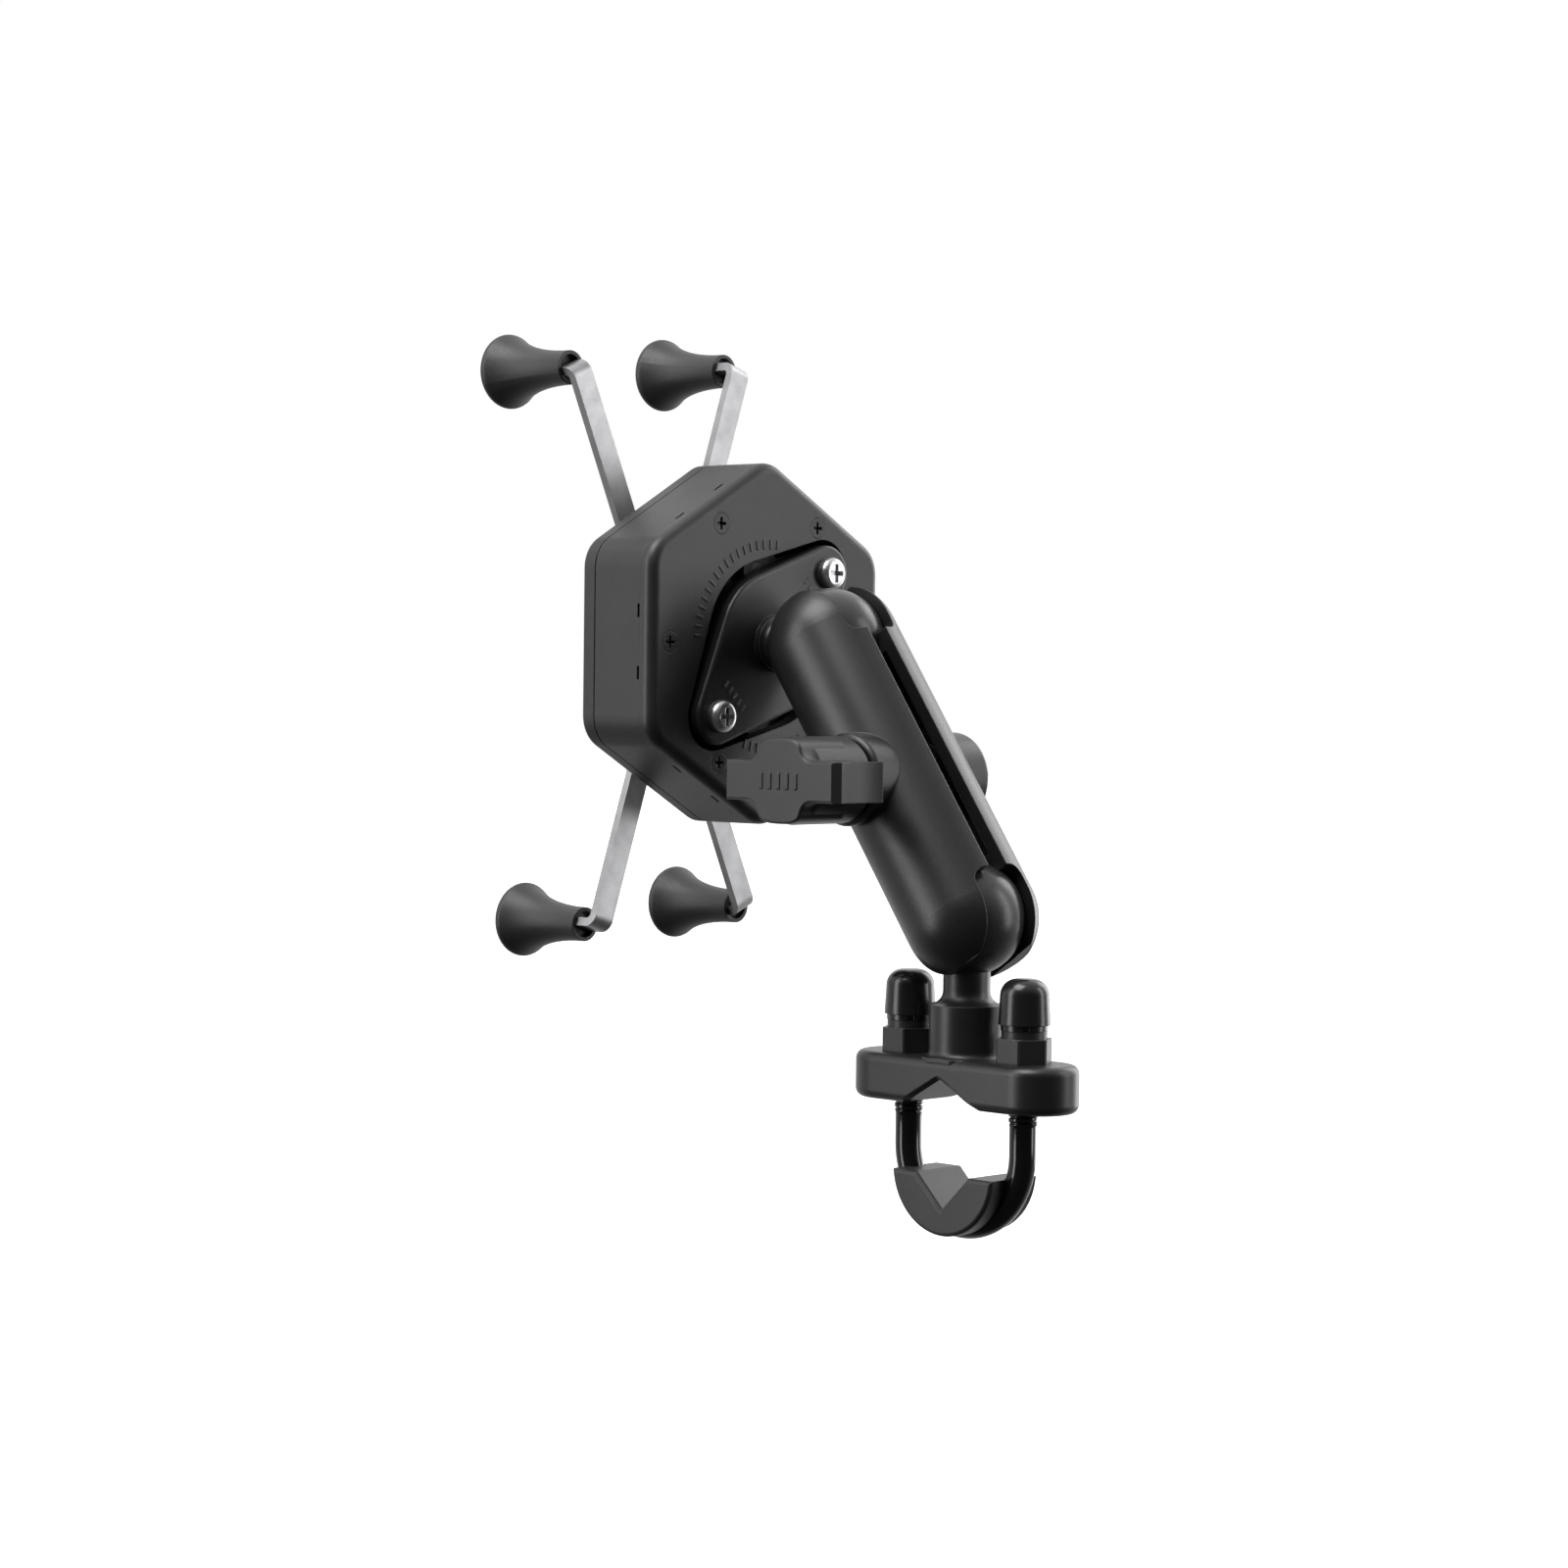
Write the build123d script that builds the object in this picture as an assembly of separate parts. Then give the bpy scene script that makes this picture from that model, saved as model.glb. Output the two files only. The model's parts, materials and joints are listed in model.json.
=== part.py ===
from build123d import *
import os
from math import asin, cos, radians, sin, sqrt, tan

# Phone handlebar mount: a U-bolt rail clamp, a double-socket arm and a spring-closed X-shaped phone
# grip on a vibration-isolating housing. Millimetres. The origin is the centre of the clamped rail,
# +Y runs along the rail, +Z is up, and the phone faces -X.

# ---- rail clamp ----
RAIL_RADIUS = 11.1            # 7/8 inch handlebar
RAIL_SIDE_GAP = 2.5           # between the rail and each leg of the U-bolt
ROD_RADIUS = 3.175            # 1/4 inch rod
ROD_HOLE_GAP = 0.35           # radial room of the legs in the plate
PLATE_DEPTH = 18.5            # along the rail
PLATE_THICKNESS = 10.5
PLATE_END_REACH = 12.9        # from a leg's axis to the end of the plate
PLATE_EDGE_RADIUS = 2.0
NOTCH_HALF_ANGLE = 60.0       # of the V in the plate, from vertical
NOTCH_DEPTH = 6.0
NOTCH_TIP_RADIUS = 1.0
NOTCH_CHAMFER = 0.9           # at both ends of the V
SADDLE_HALF_ANGLE = 45.0      # of the V in the saddle, from vertical
SADDLE_V_DEPTH = 7.6
SADDLE_WEB = 0.95             # between the V and the rod under it
SADDLE_RADIUS = 14.6
SADDLE_DEPTH = 15.5           # along the rail
SADDLE_LIP = 5.0              # how far the cheeks reach below the rod's inner side
SADDLE_EDGE_RADIUS = 0.9
GROOVE_GAP = 0.05
SHANK_RADIUS = 2.95           # of the U-bolt below its rolled threads
THREAD_LENGTH = 22.0          # of each leg, from its end
LEG_END_CHAMFER = 0.6
LEG_ABOVE_NUT = 4.2

# ---- nuts and caps on the U-bolt ----
NUT_ACROSS_FLATS = 11.1
NUT_CORNER_CUT = 0.15         # off each corner
NUT_HEIGHT = 5.3
NUT_COLLAR_RADIUS = 5.0
NUT_COLLAR_HEIGHT = 1.7
NUT_TO_BOSS_GAP = 1.4
THREAD_GAP = 0.05             # radial, between a thread and its nut
NYLON_RADIUS = 4.1
CAP_RIM_RADIUS = 5.7
CAP_TOP_RADIUS = 5.35
CAP_BAND_RADIUS = 5.15
CAP_BAND_HEIGHT = 1.3         # of the stepped-in band round the foot
CAP_HEIGHT = 11.2
CAP_DOME_RADIUS = 3.6
CAP_BORE_GAP = 0.35
CAP_ROOF = 0.9
CAP_WINDOW = 1.3
CAP_WINDOWS = 4

# ---- balls ----
BALL_RADIUS = 12.7            # 1 inch ball, over its rubber
BALL_RUBBER = 2.5
BALL_COVER_GAP = 0.05
NECK_RADIUS = 5.2
BOSS_RADIUS = 8.2
BOSS_HEIGHT = 11.5
BOSS_SKIRT = 1.6
BALL_HEIGHT = 30.4            # from the plate's top to the ball's centre

# ---- arm ----
ARM_SPAN = 73.5               # ball centre to ball centre
ARM_LEAN = 35.5               # degrees from vertical, towards the rider
ARM_RADIUS = 14.1
ARM_FAR_SHIFT = 2.4           # of the bolt-side half's outside, away from the balls
ARM_WALL = 3.0
ARM_SPLIT = 5.6               # gap between the two halves
ARM_END_REACH = 11.3          # flat ends beyond the ball centres
SOCKET_GAP = 0.12
SOCKET_LEDGE = 9.5            # where the socket ends, inboard of the ball's centre
POST_SLOT_HALF_WIDTH = 7.2    # of the slot for the ball's neck
POST_SLOT_INBOARD = 5.0
POST_SLOT_CORNER_RADIUS = 3.0
MOUTH_RADIUS = 7.4            # of the round opening at each end
ARM_BOSS_RADIUS = 10.3
ARM_BOSS_EDGE_RADIUS = 1.2
KNOB_BOSS_REACH = 17.5
BOLT_BOSS_REACH = 19.5
BOLT_COLUMN_RADIUS = 8.0

# ---- clamp bolt, spring and knob ----
BOLT_RADIUS = 3.175
BOLT_HOLE_GAP = 0.25
BOLT_HEAD_ACROSS_FLATS = 11.1
BOLT_HEAD_HEIGHT = 4.2
BOLT_HEAD_SINK = 5.0
HEX_POCKET_GAP = 0.1
SPRING_POCKET_RADIUS = 5.6
SPRING_POCKET_DEPTH = 8.0
SPRING_WIRE = 1.1
SPRING_TURNS = 5
SPRING_END_GAP = 0.1
SPRING_SIDE_GAP = 0.3
WASHER_RADIUS = 8.3
WASHER_THICKNESS = 0.9
KNOB_FACE_REACH = 38.0        # from the arm's centre plane to the knob's face
KNOB_WING_DEPTH = 14.0
KNOB_LENGTH = 35.8            # at the wings' back
KNOB_FACE_LENGTH = 34.8       # just behind the chamfered face
KNOB_HOLLOW_LENGTH = 33.9     # midway, where the tips are hollowed
KNOB_TIP_HEIGHT = 8.8
KNOB_BULGE_HEIGHT = 18.6
KNOB_BULGE_HALF_WIDTH = 3.4
KNOB_WAIST_HALF_WIDTH = 9.6
KNOB_TIP_CHAMFER = 1.6
KNOB_EDGE_RADIUS = 0.6
KNOB_HUB_RADIUS = 9.6
KNOB_HUB_FACE_RADIUS = 1.5    # rounding of the hub's front edge
KNOB_HUB_BACK_RADIUS = 0.8
KNOB_HUB_SINK = 3.0           # of the hub's front below the knob's face
INSERT_RADIUS = 5.2
INSERT_LENGTH = 9.0
BOLT_END_WALL = 3.0           # left in the knob in front of the bolt's hole
BOLT_TIP_GAP = 2.0            # from the bolt's tip to that wall

# ---- diamond ball base ----
HEAD_STANDOFF = 17.8          # ball centre to the base's outer face
DIAMOND_THICKNESS = 4.5
DIAMOND_HOLE_SPACING = 48.56
DIAMOND_ANGLE = 136.6         # of the hole line, seen from the rider
DIAMOND_TIP_RADIUS = 6.6
DIAMOND_WAIST_RADIUS = 16.6
DIAMOND_EDGE_RADIUS = 1.0
STEM_FLARE_RADIUS = 6.6
STEM_FLARE_HEIGHT = 1.6
PAN_HEAD_RADIUS = 3.75
PAN_HEAD_HEIGHT = 2.6
PAN_HEAD_EDGE_RADIUS = 1.5
PAN_RECESS_LENGTH = 4.2
PAN_RECESS_WIDTH = 1.0
PAN_RECESS_DEPTH = 1.5
PAN_SHANK_RADIUS = 2.0
PAN_HOLE_GAP = 0.2
PAN_NUT_ACROSS_FLATS = 7.0
PAN_NUT_HEIGHT = 3.2
PAN_SCREW_TAIL = 0.8          # beyond the nut

# ---- isolating housing ----
HOUSING_VERTEX_RADIUS = 42.9
HOUSING_CORNER_RADIUS = 8.0
HOUSING_PROUD = 1.95          # of the diamond's outer face over the housing's back
BACK_COVER = 4.0
HOUSING_DEPTH = 23.25
FRONT_COVER = 4.6
HOUSING_EDGE_RADIUS = 2.5
HOUSING_WALL = 4.5
HOUSING_WEB = 3.0
SEAM_GROOVE = 0.35
OPENING_TIP_GAP = 1.3         # between the diamond and the opening round it
OPENING_WAIST_GAP = 3.0
SCREW_CIRCLE_RADIUS = 31.4
SCREW_HEAD_RADIUS = 2.4
SCREW_HEAD_HEIGHT = 1.9
SCREW_RECESS_LENGTH = 2.9
SCREW_RECESS_WIDTH = 0.7
SCREW_RECESS_DEPTH = 1.2
SCREW_HOLE_GAP = 0.1
SCREW_SHANK_RADIUS = 1.4
SCREW_LENGTH = 13.0
SCREW_BOSS_RADIUS = 3.2
ISOLATOR_THICKNESS = 3.0
ISOLATOR_GAP = 2.4            # to the back cover
ISOLATOR_RADIUS = 22.0
PAD_STEP = 1.0                # the isolator's raised pad inside the diamond's outline
FLOAT_TRAVEL = 1.0            # of the housing on its bushes, each way
BUSH_CIRCLE_RADIUS = 17.0
BUSH_COUNT = 4
BUSH_RADIUS = 4.5
BUSH_WAIST_RADIUS = 3.2
POST_RADIUS = 1.9
BUSH_GAP = 0.05
SEAM_SLOT_LENGTH = 3.0
SEAM_SLOT_WIDTH = 0.7
SEAM_SLOT_SPACING = 14.0
SEAM_SLOT_DEPTH = 1.2

# ---- phone grip ----
HUB_RADIUS = 20.5
HUB_BASE_HEIGHT = 8.3
HUB_WALL = 2.4
HUB_EDGE_RADIUS = 1.2
BAR_WIDTH = 5.6
BAR_THICKNESS = 2.0
BAR_GAP = 0.3
BAR_EYE_RADIUS = 8.0
BAR_BEND_RADIUS = 3.0
BAR_TAB_LENGTH = 16.0
BAR_REACH = 69.5              # from the pivot to the middle of each end tab
BAR_TILT = 21.0               # of each bar from upright
GRIP_TURN = -2.75             # of the whole X about its pivot, as it was left
HUB_COVER_THICKNESS = 2.4
PAD_RADIUS = 16.5
PAD_THICKNESS = 1.2
PIVOT_RADIUS = 3.0
PIVOT_GAP = 0.06
PIVOT_HEAD_RADIUS = 5.0
PIVOT_HEAD_HEIGHT = 1.2
PIVOT_HEAD_GAP = 0.2
GRIP_SPRING_RADIUS = 9.5
GRIP_SPRING_WIRE = 1.6
GRIP_SPRING_TURNS = 3
GRIP_SPRING_END_GAP = 0.3
CUP_START_GAP = 1.8           # from the bars' plane to the cup's narrow end
CUP_LENGTH = 24.5
CUP_NARROW_RADIUS = 4.0
CUP_WIDE_RADIUS = 8.75
CUP_EDGE_RADIUS = 1.6
CUP_FLARE = 32.0              # degrees outward, where the wall meets the rounded rim
CUP_DOME_DEPTH = 3.2
CUP_MOUTH_RADIUS = 3.1
CUP_MOUTH_DEPTH = 1.6

# ---- places worked out from the sizes above ----
NOTCH_TIP_Z = RAIL_RADIUS / sin(radians(NOTCH_HALF_ANGLE))
PLATE_BOTTOM_Z = NOTCH_TIP_Z - NOTCH_DEPTH
PLATE_TOP_Z = PLATE_BOTTOM_Z + PLATE_THICKNESS
NUT_CORNER_RADIUS = NUT_ACROSS_FLATS / sqrt(3)
LEG_X = max(RAIL_RADIUS + ROD_RADIUS + RAIL_SIDE_GAP,
            BOSS_RADIUS + NUT_CORNER_RADIUS + NUT_TO_BOSS_GAP)
SADDLE_TIP_Z = -RAIL_RADIUS / sin(radians(SADDLE_HALF_ANGLE))
SADDLE_TOP_Z = SADDLE_TIP_Z + SADDLE_V_DEPTH
BEND_CENTRE_Z = SADDLE_TIP_Z - SADDLE_WEB + LEG_X - ROD_RADIUS
NUT_TOP_Z = PLATE_TOP_Z + NUT_HEIGHT + NUT_COLLAR_HEIGHT
LEG_TOP_Z = NUT_TOP_Z + LEG_ABOVE_NUT
BASE_BALL = Vector(0, 0, PLATE_TOP_Z + BALL_HEIGHT)
ARM_FRAME = Location(BASE_BALL, (0, -ARM_LEAN, 0))
HEAD_BALL = (ARM_FRAME * Location((0, 0, ARM_SPAN))).position
# The knob and bolt turn about the rail's direction, midway along the arm.
CLAMP_FRAME = Location((ARM_FRAME * Location((0, 0, ARM_SPAN / 2))).position)
# In the head's frame z points at the phone, y is up and x is the rider's right.
HEAD_FRAME = Plane(origin=HEAD_BALL, x_dir=(0, -1, 0), z_dir=(-1, 0, 0)).location
TOUCHING = 0.01
UPWARD = (Align.CENTER, Align.CENTER, Align.MIN)
NEAR_SIDE = -1                # the knob's side, -Y
FAR_SIDE = 1                  # the bolt head's side, +Y
CORE_RADIUS = BALL_RADIUS - BALL_RUBBER
WASHER_END = KNOB_BOSS_REACH + WASHER_THICKNESS
BOLT_TIP = KNOB_FACE_REACH - BOLT_END_WALL - BOLT_TIP_GAP

BACK_FACE = HEAD_STANDOFF + HOUSING_PROUD
BODY_START = BACK_FACE + BACK_COVER
FRONT_FACE = BACK_FACE + HOUSING_DEPTH
FRONT_COVER_START = FRONT_FACE - FRONT_COVER
WEB_START = FRONT_COVER_START - HOUSING_WEB
DIAMOND_BACK = HEAD_STANDOFF + DIAMOND_THICKNESS
ISOLATOR_START = BODY_START + ISOLATOR_GAP
ISOLATOR_END = ISOLATOR_START + ISOLATOR_THICKNESS
BAR_A_START = FRONT_FACE + HUB_BASE_HEIGHT + BAR_GAP
BAR_B_START = BAR_A_START + BAR_THICKNESS + BAR_GAP
HUB_COVER_START = BAR_B_START + BAR_THICKNESS + BAR_GAP
HUB_COVER_END = HUB_COVER_START + HUB_COVER_THICKNESS
CUP_START = BAR_B_START + BAR_THICKNESS + CUP_START_GAP


def rod(radius, start, end):
    """A straight round bar between two points."""
    start, end = Vector(start), Vector(end)
    bar = Cylinder(radius, (end - start).length, align=(Align.CENTER, Align.CENTER, Align.MIN))
    return Plane(origin=start, z_dir=end - start).location * bar


def ring(outer, inner, start, end):
    """A tube between two points."""
    start, end = Vector(start), Vector(end)
    return rod(outer, start, end) - rod(inner, start - (end - start), end + (end - start))


def block(low, high):
    """A box between its lowest and highest corners."""
    low, high = Vector(low), Vector(high)
    size = high - low
    return Pos(*((low + high) / 2)) * Box(size.X, size.Y, size.Z)


def hexagon(across_flats, height):
    """A hexagonal bar standing on the XY plane, with two corners on the X axis."""
    outline = RegularPolygon(across_flats / 2, 6, major_radius=False)
    return extrude(outline, height)


def coil(radius, wire, length, turns):
    """An open coil spring along Z, starting at z = 0."""
    pitch = (length - wire) / turns
    path = Helix(pitch=pitch, height=pitch * turns, radius=radius)
    start = path @ 0
    section = Plane(origin=start, z_dir=path % 0).location * Circle(wire / 2)
    return Pos(0, 0, wire / 2) * sweep(section, path)


# ---- rail clamp ----

def stem_profile(foot_z, boss_top, neck_top, boss, neck):
    """Outline of a boss that narrows to a neck with a hollow fillet."""
    fillet_size = boss - neck
    foot = Vector(boss, 0, foot_z)
    shoulder = Vector(boss, 0, boss_top)
    waist = Vector(neck, 0, boss_top + fillet_size)
    middle = Vector(boss - fillet_size * sin(radians(45)), 0,
                    boss_top + fillet_size * (1 - cos(radians(45))))
    tip = Vector(neck, 0, neck_top)
    return [
        Line((0, 0, foot_z), foot),
        Line(foot, shoulder),
        ThreePointArc(shoulder, middle, waist),
        Line(waist, tip),
        Line(tip, (0, 0, neck_top)),
        Line((0, 0, neck_top), (0, 0, foot_z)),
    ]


def notch_end_edges(plate):
    """Edges where the V meets the plate's two flat sides."""
    half_width = NOTCH_DEPTH * tan(radians(NOTCH_HALF_ANGLE))
    edges = []
    for edge in plate.edges():
        centre = edge.center()
        on_side = abs(abs(centre.Y) - PLATE_DEPTH / 2) < TOUCHING
        if on_side and abs(centre.X) < half_width and centre.Z < NOTCH_TIP_Z:
            edges.append(edge)
    return edges


def base_plate():
    outline = SlotOverall(2 * (LEG_X + PLATE_END_REACH), PLATE_DEPTH)
    plate = Pos(0, 0, PLATE_BOTTOM_Z) * extrude(outline, PLATE_THICKNESS)
    rims = plate.edges().group_by(Axis.Z)
    plate = fillet(rims[0] + rims[-1], PLATE_EDGE_RADIUS)
    half_width = (NOTCH_DEPTH + 1) * tan(radians(NOTCH_HALF_ANGLE))
    notch = make_face(Polyline((-half_width, PLATE_BOTTOM_Z - 1), (0, NOTCH_TIP_Z),
                               (half_width, PLATE_BOTTOM_Z - 1), close=True))
    notch = fillet(notch.vertices().sort_by(Axis.Y)[-1], NOTCH_TIP_RADIUS)
    plate -= extrude(Plane.XZ * notch, PLATE_DEPTH, both=True)
    plate = chamfer(notch_end_edges(plate), NOTCH_CHAMFER)
    boss_top = PLATE_TOP_Z + BOSS_HEIGHT
    core_bottom = BASE_BALL.Z - sqrt(CORE_RADIUS ** 2 - NECK_RADIUS ** 2)
    stem = revolve_edges(stem_profile(PLATE_TOP_Z - 1, boss_top, core_bottom + 1,
                                      BOSS_RADIUS, NECK_RADIUS))
    skirt = revolve_edges(stem_profile(PLATE_TOP_Z - 1, PLATE_TOP_Z, PLATE_TOP_Z + BOSS_SKIRT + 1,
                                       BOSS_RADIUS + BOSS_SKIRT, BOSS_RADIUS))
    skirt &= extrude(outline, PLATE_TOP_Z + BOSS_SKIRT + 2)
    legs = [rod(ROD_RADIUS + ROD_HOLE_GAP, (x, 0, 0), (x, 0, PLATE_TOP_Z + 1))
            for x in (-LEG_X, LEG_X)]
    return plate + stem + skirt + Pos(*BASE_BALL) * Sphere(CORE_RADIUS) - legs


def revolve_edges(edges):
    """A solid of revolution about Z from a closed outline in the XZ plane."""
    return revolve(make_face(edges), Axis.Z)


def u_bolt_solid(radius):
    top_left = Vector(-LEG_X, 0, LEG_TOP_Z)
    top_right = Vector(LEG_X, 0, LEG_TOP_Z)
    left = Vector(-LEG_X, 0, BEND_CENTRE_Z)
    right = Vector(LEG_X, 0, BEND_CENTRE_Z)
    bottom = Vector(0, 0, BEND_CENTRE_Z - LEG_X)
    path = Wire([Edge.make_line(top_left, left), Edge.make_three_point_arc(left, bottom, right),
                 Edge.make_line(right, top_right)])
    section = Plane(origin=top_left, z_dir=(0, 0, -1)).location * Circle(radius)
    return sweep(section, path)


def u_bolt():
    bolt = u_bolt_solid(SHANK_RADIUS)
    for x in (-LEG_X, LEG_X):
        thread = rod(ROD_RADIUS, (x, 0, LEG_TOP_Z - THREAD_LENGTH), (x, 0, LEG_TOP_Z))
        bolt += chamfer(thread.edges().group_by(Axis.Z)[-1], LEG_END_CHAMFER)
    return bolt


def rail_saddle():
    centre_z = BEND_CENTRE_Z - LEG_X + ROD_RADIUS - SADDLE_LIP + SADDLE_RADIUS
    half = SADDLE_DEPTH / 2
    drum = rod(SADDLE_RADIUS, (0, -half, centre_z), (0, half, centre_z))
    saddle = drum & block((-SADDLE_RADIUS, -half, centre_z - SADDLE_RADIUS),
                          (SADDLE_RADIUS, half, SADDLE_TOP_Z))
    half_width = (SADDLE_V_DEPTH + 1) * tan(radians(SADDLE_HALF_ANGLE))
    vee = make_face(Polyline((-half_width, SADDLE_TOP_Z + 1), (0, SADDLE_TIP_Z),
                             (half_width, SADDLE_TOP_Z + 1), close=True))
    saddle -= extrude(Plane.XZ * vee, SADDLE_DEPTH, both=True)
    ends = saddle.faces().sort_by(Axis.Y)
    saddle = fillet(ends[0].edges() + ends[-1].edges(), SADDLE_EDGE_RADIUS)
    groove = ROD_RADIUS + GROOVE_GAP
    outside = block((-2 * LEG_X, -groove, BEND_CENTRE_Z - 2 * LEG_X), (2 * LEG_X, groove, 0))
    outside -= rod(LEG_X, (0, -groove, BEND_CENTRE_Z), (0, groove, BEND_CENTRE_Z))
    return saddle - u_bolt_solid(groove) - outside


def lock_nut(x):
    bore = rod(ROD_RADIUS + THREAD_GAP, (0, 0, -1), (0, 0, NUT_HEIGHT + NUT_COLLAR_HEIGHT + 1))
    nut = hexagon(NUT_ACROSS_FLATS, NUT_HEIGHT)
    nut &= Pos(0, 0, -1) * Cylinder(NUT_CORNER_RADIUS - NUT_CORNER_CUT, NUT_HEIGHT + 2, align=UPWARD)
    collar = Pos(0, 0, NUT_HEIGHT) * Cylinder(NUT_COLLAR_RADIUS, NUT_COLLAR_HEIGHT, align=UPWARD)
    pocket = Pos(0, 0, NUT_HEIGHT) * Cylinder(NYLON_RADIUS, NUT_COLLAR_HEIGHT + 1, align=UPWARD)
    return Pos(x, 0, PLATE_TOP_Z) * (nut + collar - pocket - bore)


def nylon_ring(x):
    return ring(NYLON_RADIUS, ROD_RADIUS + THREAD_GAP,
                (x, 0, PLATE_TOP_Z + NUT_HEIGHT), (x, 0, NUT_TOP_Z))


def nut_cap(x):
    """Domed rubber cap over a leg's end, with small windows round its rim."""
    shoulder = CAP_HEIGHT - CAP_DOME_RADIUS
    edge = CAP_TOP_RADIUS - CAP_DOME_RADIUS
    dome_mid = Vector(edge + CAP_DOME_RADIUS * sin(radians(45)), 0,
                      shoulder + CAP_DOME_RADIUS * cos(radians(45)))
    outline = [
        Line((0, 0, 0), (CAP_BAND_RADIUS, 0, 0)),
        Line((CAP_BAND_RADIUS, 0, 0), (CAP_BAND_RADIUS, 0, CAP_BAND_HEIGHT)),
        Line((CAP_BAND_RADIUS, 0, CAP_BAND_HEIGHT), (CAP_RIM_RADIUS, 0, CAP_BAND_HEIGHT)),
        Line((CAP_RIM_RADIUS, 0, CAP_BAND_HEIGHT), (CAP_TOP_RADIUS, 0, shoulder)),
        ThreePointArc((CAP_TOP_RADIUS, 0, shoulder), dome_mid, (edge, 0, CAP_HEIGHT)),
        Line((edge, 0, CAP_HEIGHT), (0, 0, CAP_HEIGHT)),
        Line((0, 0, CAP_HEIGHT), (0, 0, 0)),
    ]
    cap = revolve_edges(outline)
    cap -= rod(ROD_RADIUS + CAP_BORE_GAP, (0, 0, -1), (0, 0, CAP_HEIGHT - CAP_ROOF))
    window = block((CAP_BAND_RADIUS - 1, -CAP_WINDOW / 2, -1),
                   (CAP_RIM_RADIUS + 1, CAP_WINDOW / 2, CAP_WINDOW))
    for turn in range(CAP_WINDOWS):
        cap -= Rot(0, 0, 45 + 360 / CAP_WINDOWS * turn) * window
    return Pos(x, 0, NUT_TOP_Z) * cap


def ball_cover(neck_direction, centre):
    """Rubber skin of a ball, open where the neck comes out."""
    skin = Sphere(BALL_RADIUS) - Sphere(CORE_RADIUS + BALL_COVER_GAP)
    skin -= rod(NECK_RADIUS + BALL_COVER_GAP, (0, 0, 0), Vector(*neck_direction) * (BALL_RADIUS + 1))
    return Pos(*centre) * skin


# ---- arm ----

def arm_outline(radius, reach):
    """Outline of the arm's round body with ball ends cut flat."""
    end_radius = sqrt(radius ** 2 - reach ** 2)
    half_turn = asin(reach / radius) / 2
    side, lift = radius * cos(half_turn), radius * sin(half_turn)
    return [
        Line((0, 0, -reach), (end_radius, 0, -reach)),
        ThreePointArc((end_radius, 0, -reach), (side, 0, -lift), (radius, 0, 0)),
        Line((radius, 0, 0), (radius, 0, ARM_SPAN)),
        ThreePointArc((radius, 0, ARM_SPAN), (side, 0, ARM_SPAN + lift),
                      (end_radius, 0, ARM_SPAN + reach)),
        Line((end_radius, 0, ARM_SPAN + reach), (0, 0, ARM_SPAN + reach)),
        Line((0, 0, ARM_SPAN + reach), (0, 0, -reach)),
    ]


def post_slot():
    """Room for a ball's neck at the arm's lower end, with rounded inner corners."""
    far = 3 * ARM_SPAN
    slot = block((-far, -POST_SLOT_HALF_WIDTH, -far), (far, POST_SLOT_HALF_WIDTH, POST_SLOT_INBOARD))
    slot = fillet(slot.edges().filter_by(Axis.X).group_by(Axis.Z)[-1], POST_SLOT_CORNER_RADIUS)
    return slot + rod(MOUTH_RADIUS, (0, 0, -far), (0, 0, 0))


def arm_shell(side, boss_reach, shift):
    """One half of the double-socket arm, in the arm's own frame."""
    middle = ARM_SPAN / 2
    far = 3 * ARM_SPAN
    body = revolve_edges(arm_outline(ARM_RADIUS, ARM_END_REACH))
    hollow = rod(ARM_RADIUS - ARM_WALL, (0, 0, SOCKET_LEDGE), (0, 0, ARM_SPAN - SOCKET_LEDGE))
    body -= hollow - rod(BOLT_COLUMN_RADIUS, (0, -ARM_RADIUS, middle), (0, ARM_RADIUS, middle))
    body = Pos(0, shift, 0) * body
    boss = rod(ARM_BOSS_RADIUS, (0, side * BOLT_COLUMN_RADIUS, middle), (0, side * boss_reach, middle))
    boss = fillet(boss.edges().sort_by(Axis.Y)[-1 if side > 0 else 0], ARM_BOSS_EDGE_RADIUS)
    body += boss
    low, high = sorted((side * ARM_SPLIT / 2, side * far))
    body &= block((-far, low, -far), (far, high, far))
    slot = post_slot()
    for end in (Pos(0, 0, 0), Pos(0, 0, ARM_SPAN) * Rot(180, 0, 0)):
        body -= end * Sphere(BALL_RADIUS + SOCKET_GAP)
        body -= end * slot
    body -= rod(BOLT_RADIUS + BOLT_HOLE_GAP, (0, -far, middle), (0, far, middle))
    body -= rod(SPRING_POCKET_RADIUS, (0, 0, middle), (0, side * SPRING_POCKET_DEPTH, middle))
    return body


def arm_shell_knob_side():
    return ARM_FRAME * arm_shell(NEAR_SIDE, KNOB_BOSS_REACH, 0)


def along_bolt(solid):
    """Turn a solid that stands on Z so that it lies along +Y from the arm's centre plane."""
    return CLAMP_FRAME * Rot(-90, 0, 0) * solid


def arm_shell_bolt_side():
    pocket = Pos(0, 0, BOLT_BOSS_REACH - BOLT_HEAD_SINK) * hexagon(
        BOLT_HEAD_ACROSS_FLATS + 2 * HEX_POCKET_GAP, BOLT_HEAD_SINK + 1)
    return ARM_FRAME * arm_shell(FAR_SIDE, BOLT_BOSS_REACH, ARM_FAR_SHIFT) - along_bolt(pocket)


def clamp_bolt():
    head_start = BOLT_BOSS_REACH - BOLT_HEAD_SINK
    head = Pos(0, 0, head_start) * hexagon(BOLT_HEAD_ACROSS_FLATS, BOLT_HEAD_HEIGHT)
    return along_bolt(head + rod(BOLT_RADIUS, (0, 0, -BOLT_TIP), (0, 0, head_start)))


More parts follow.
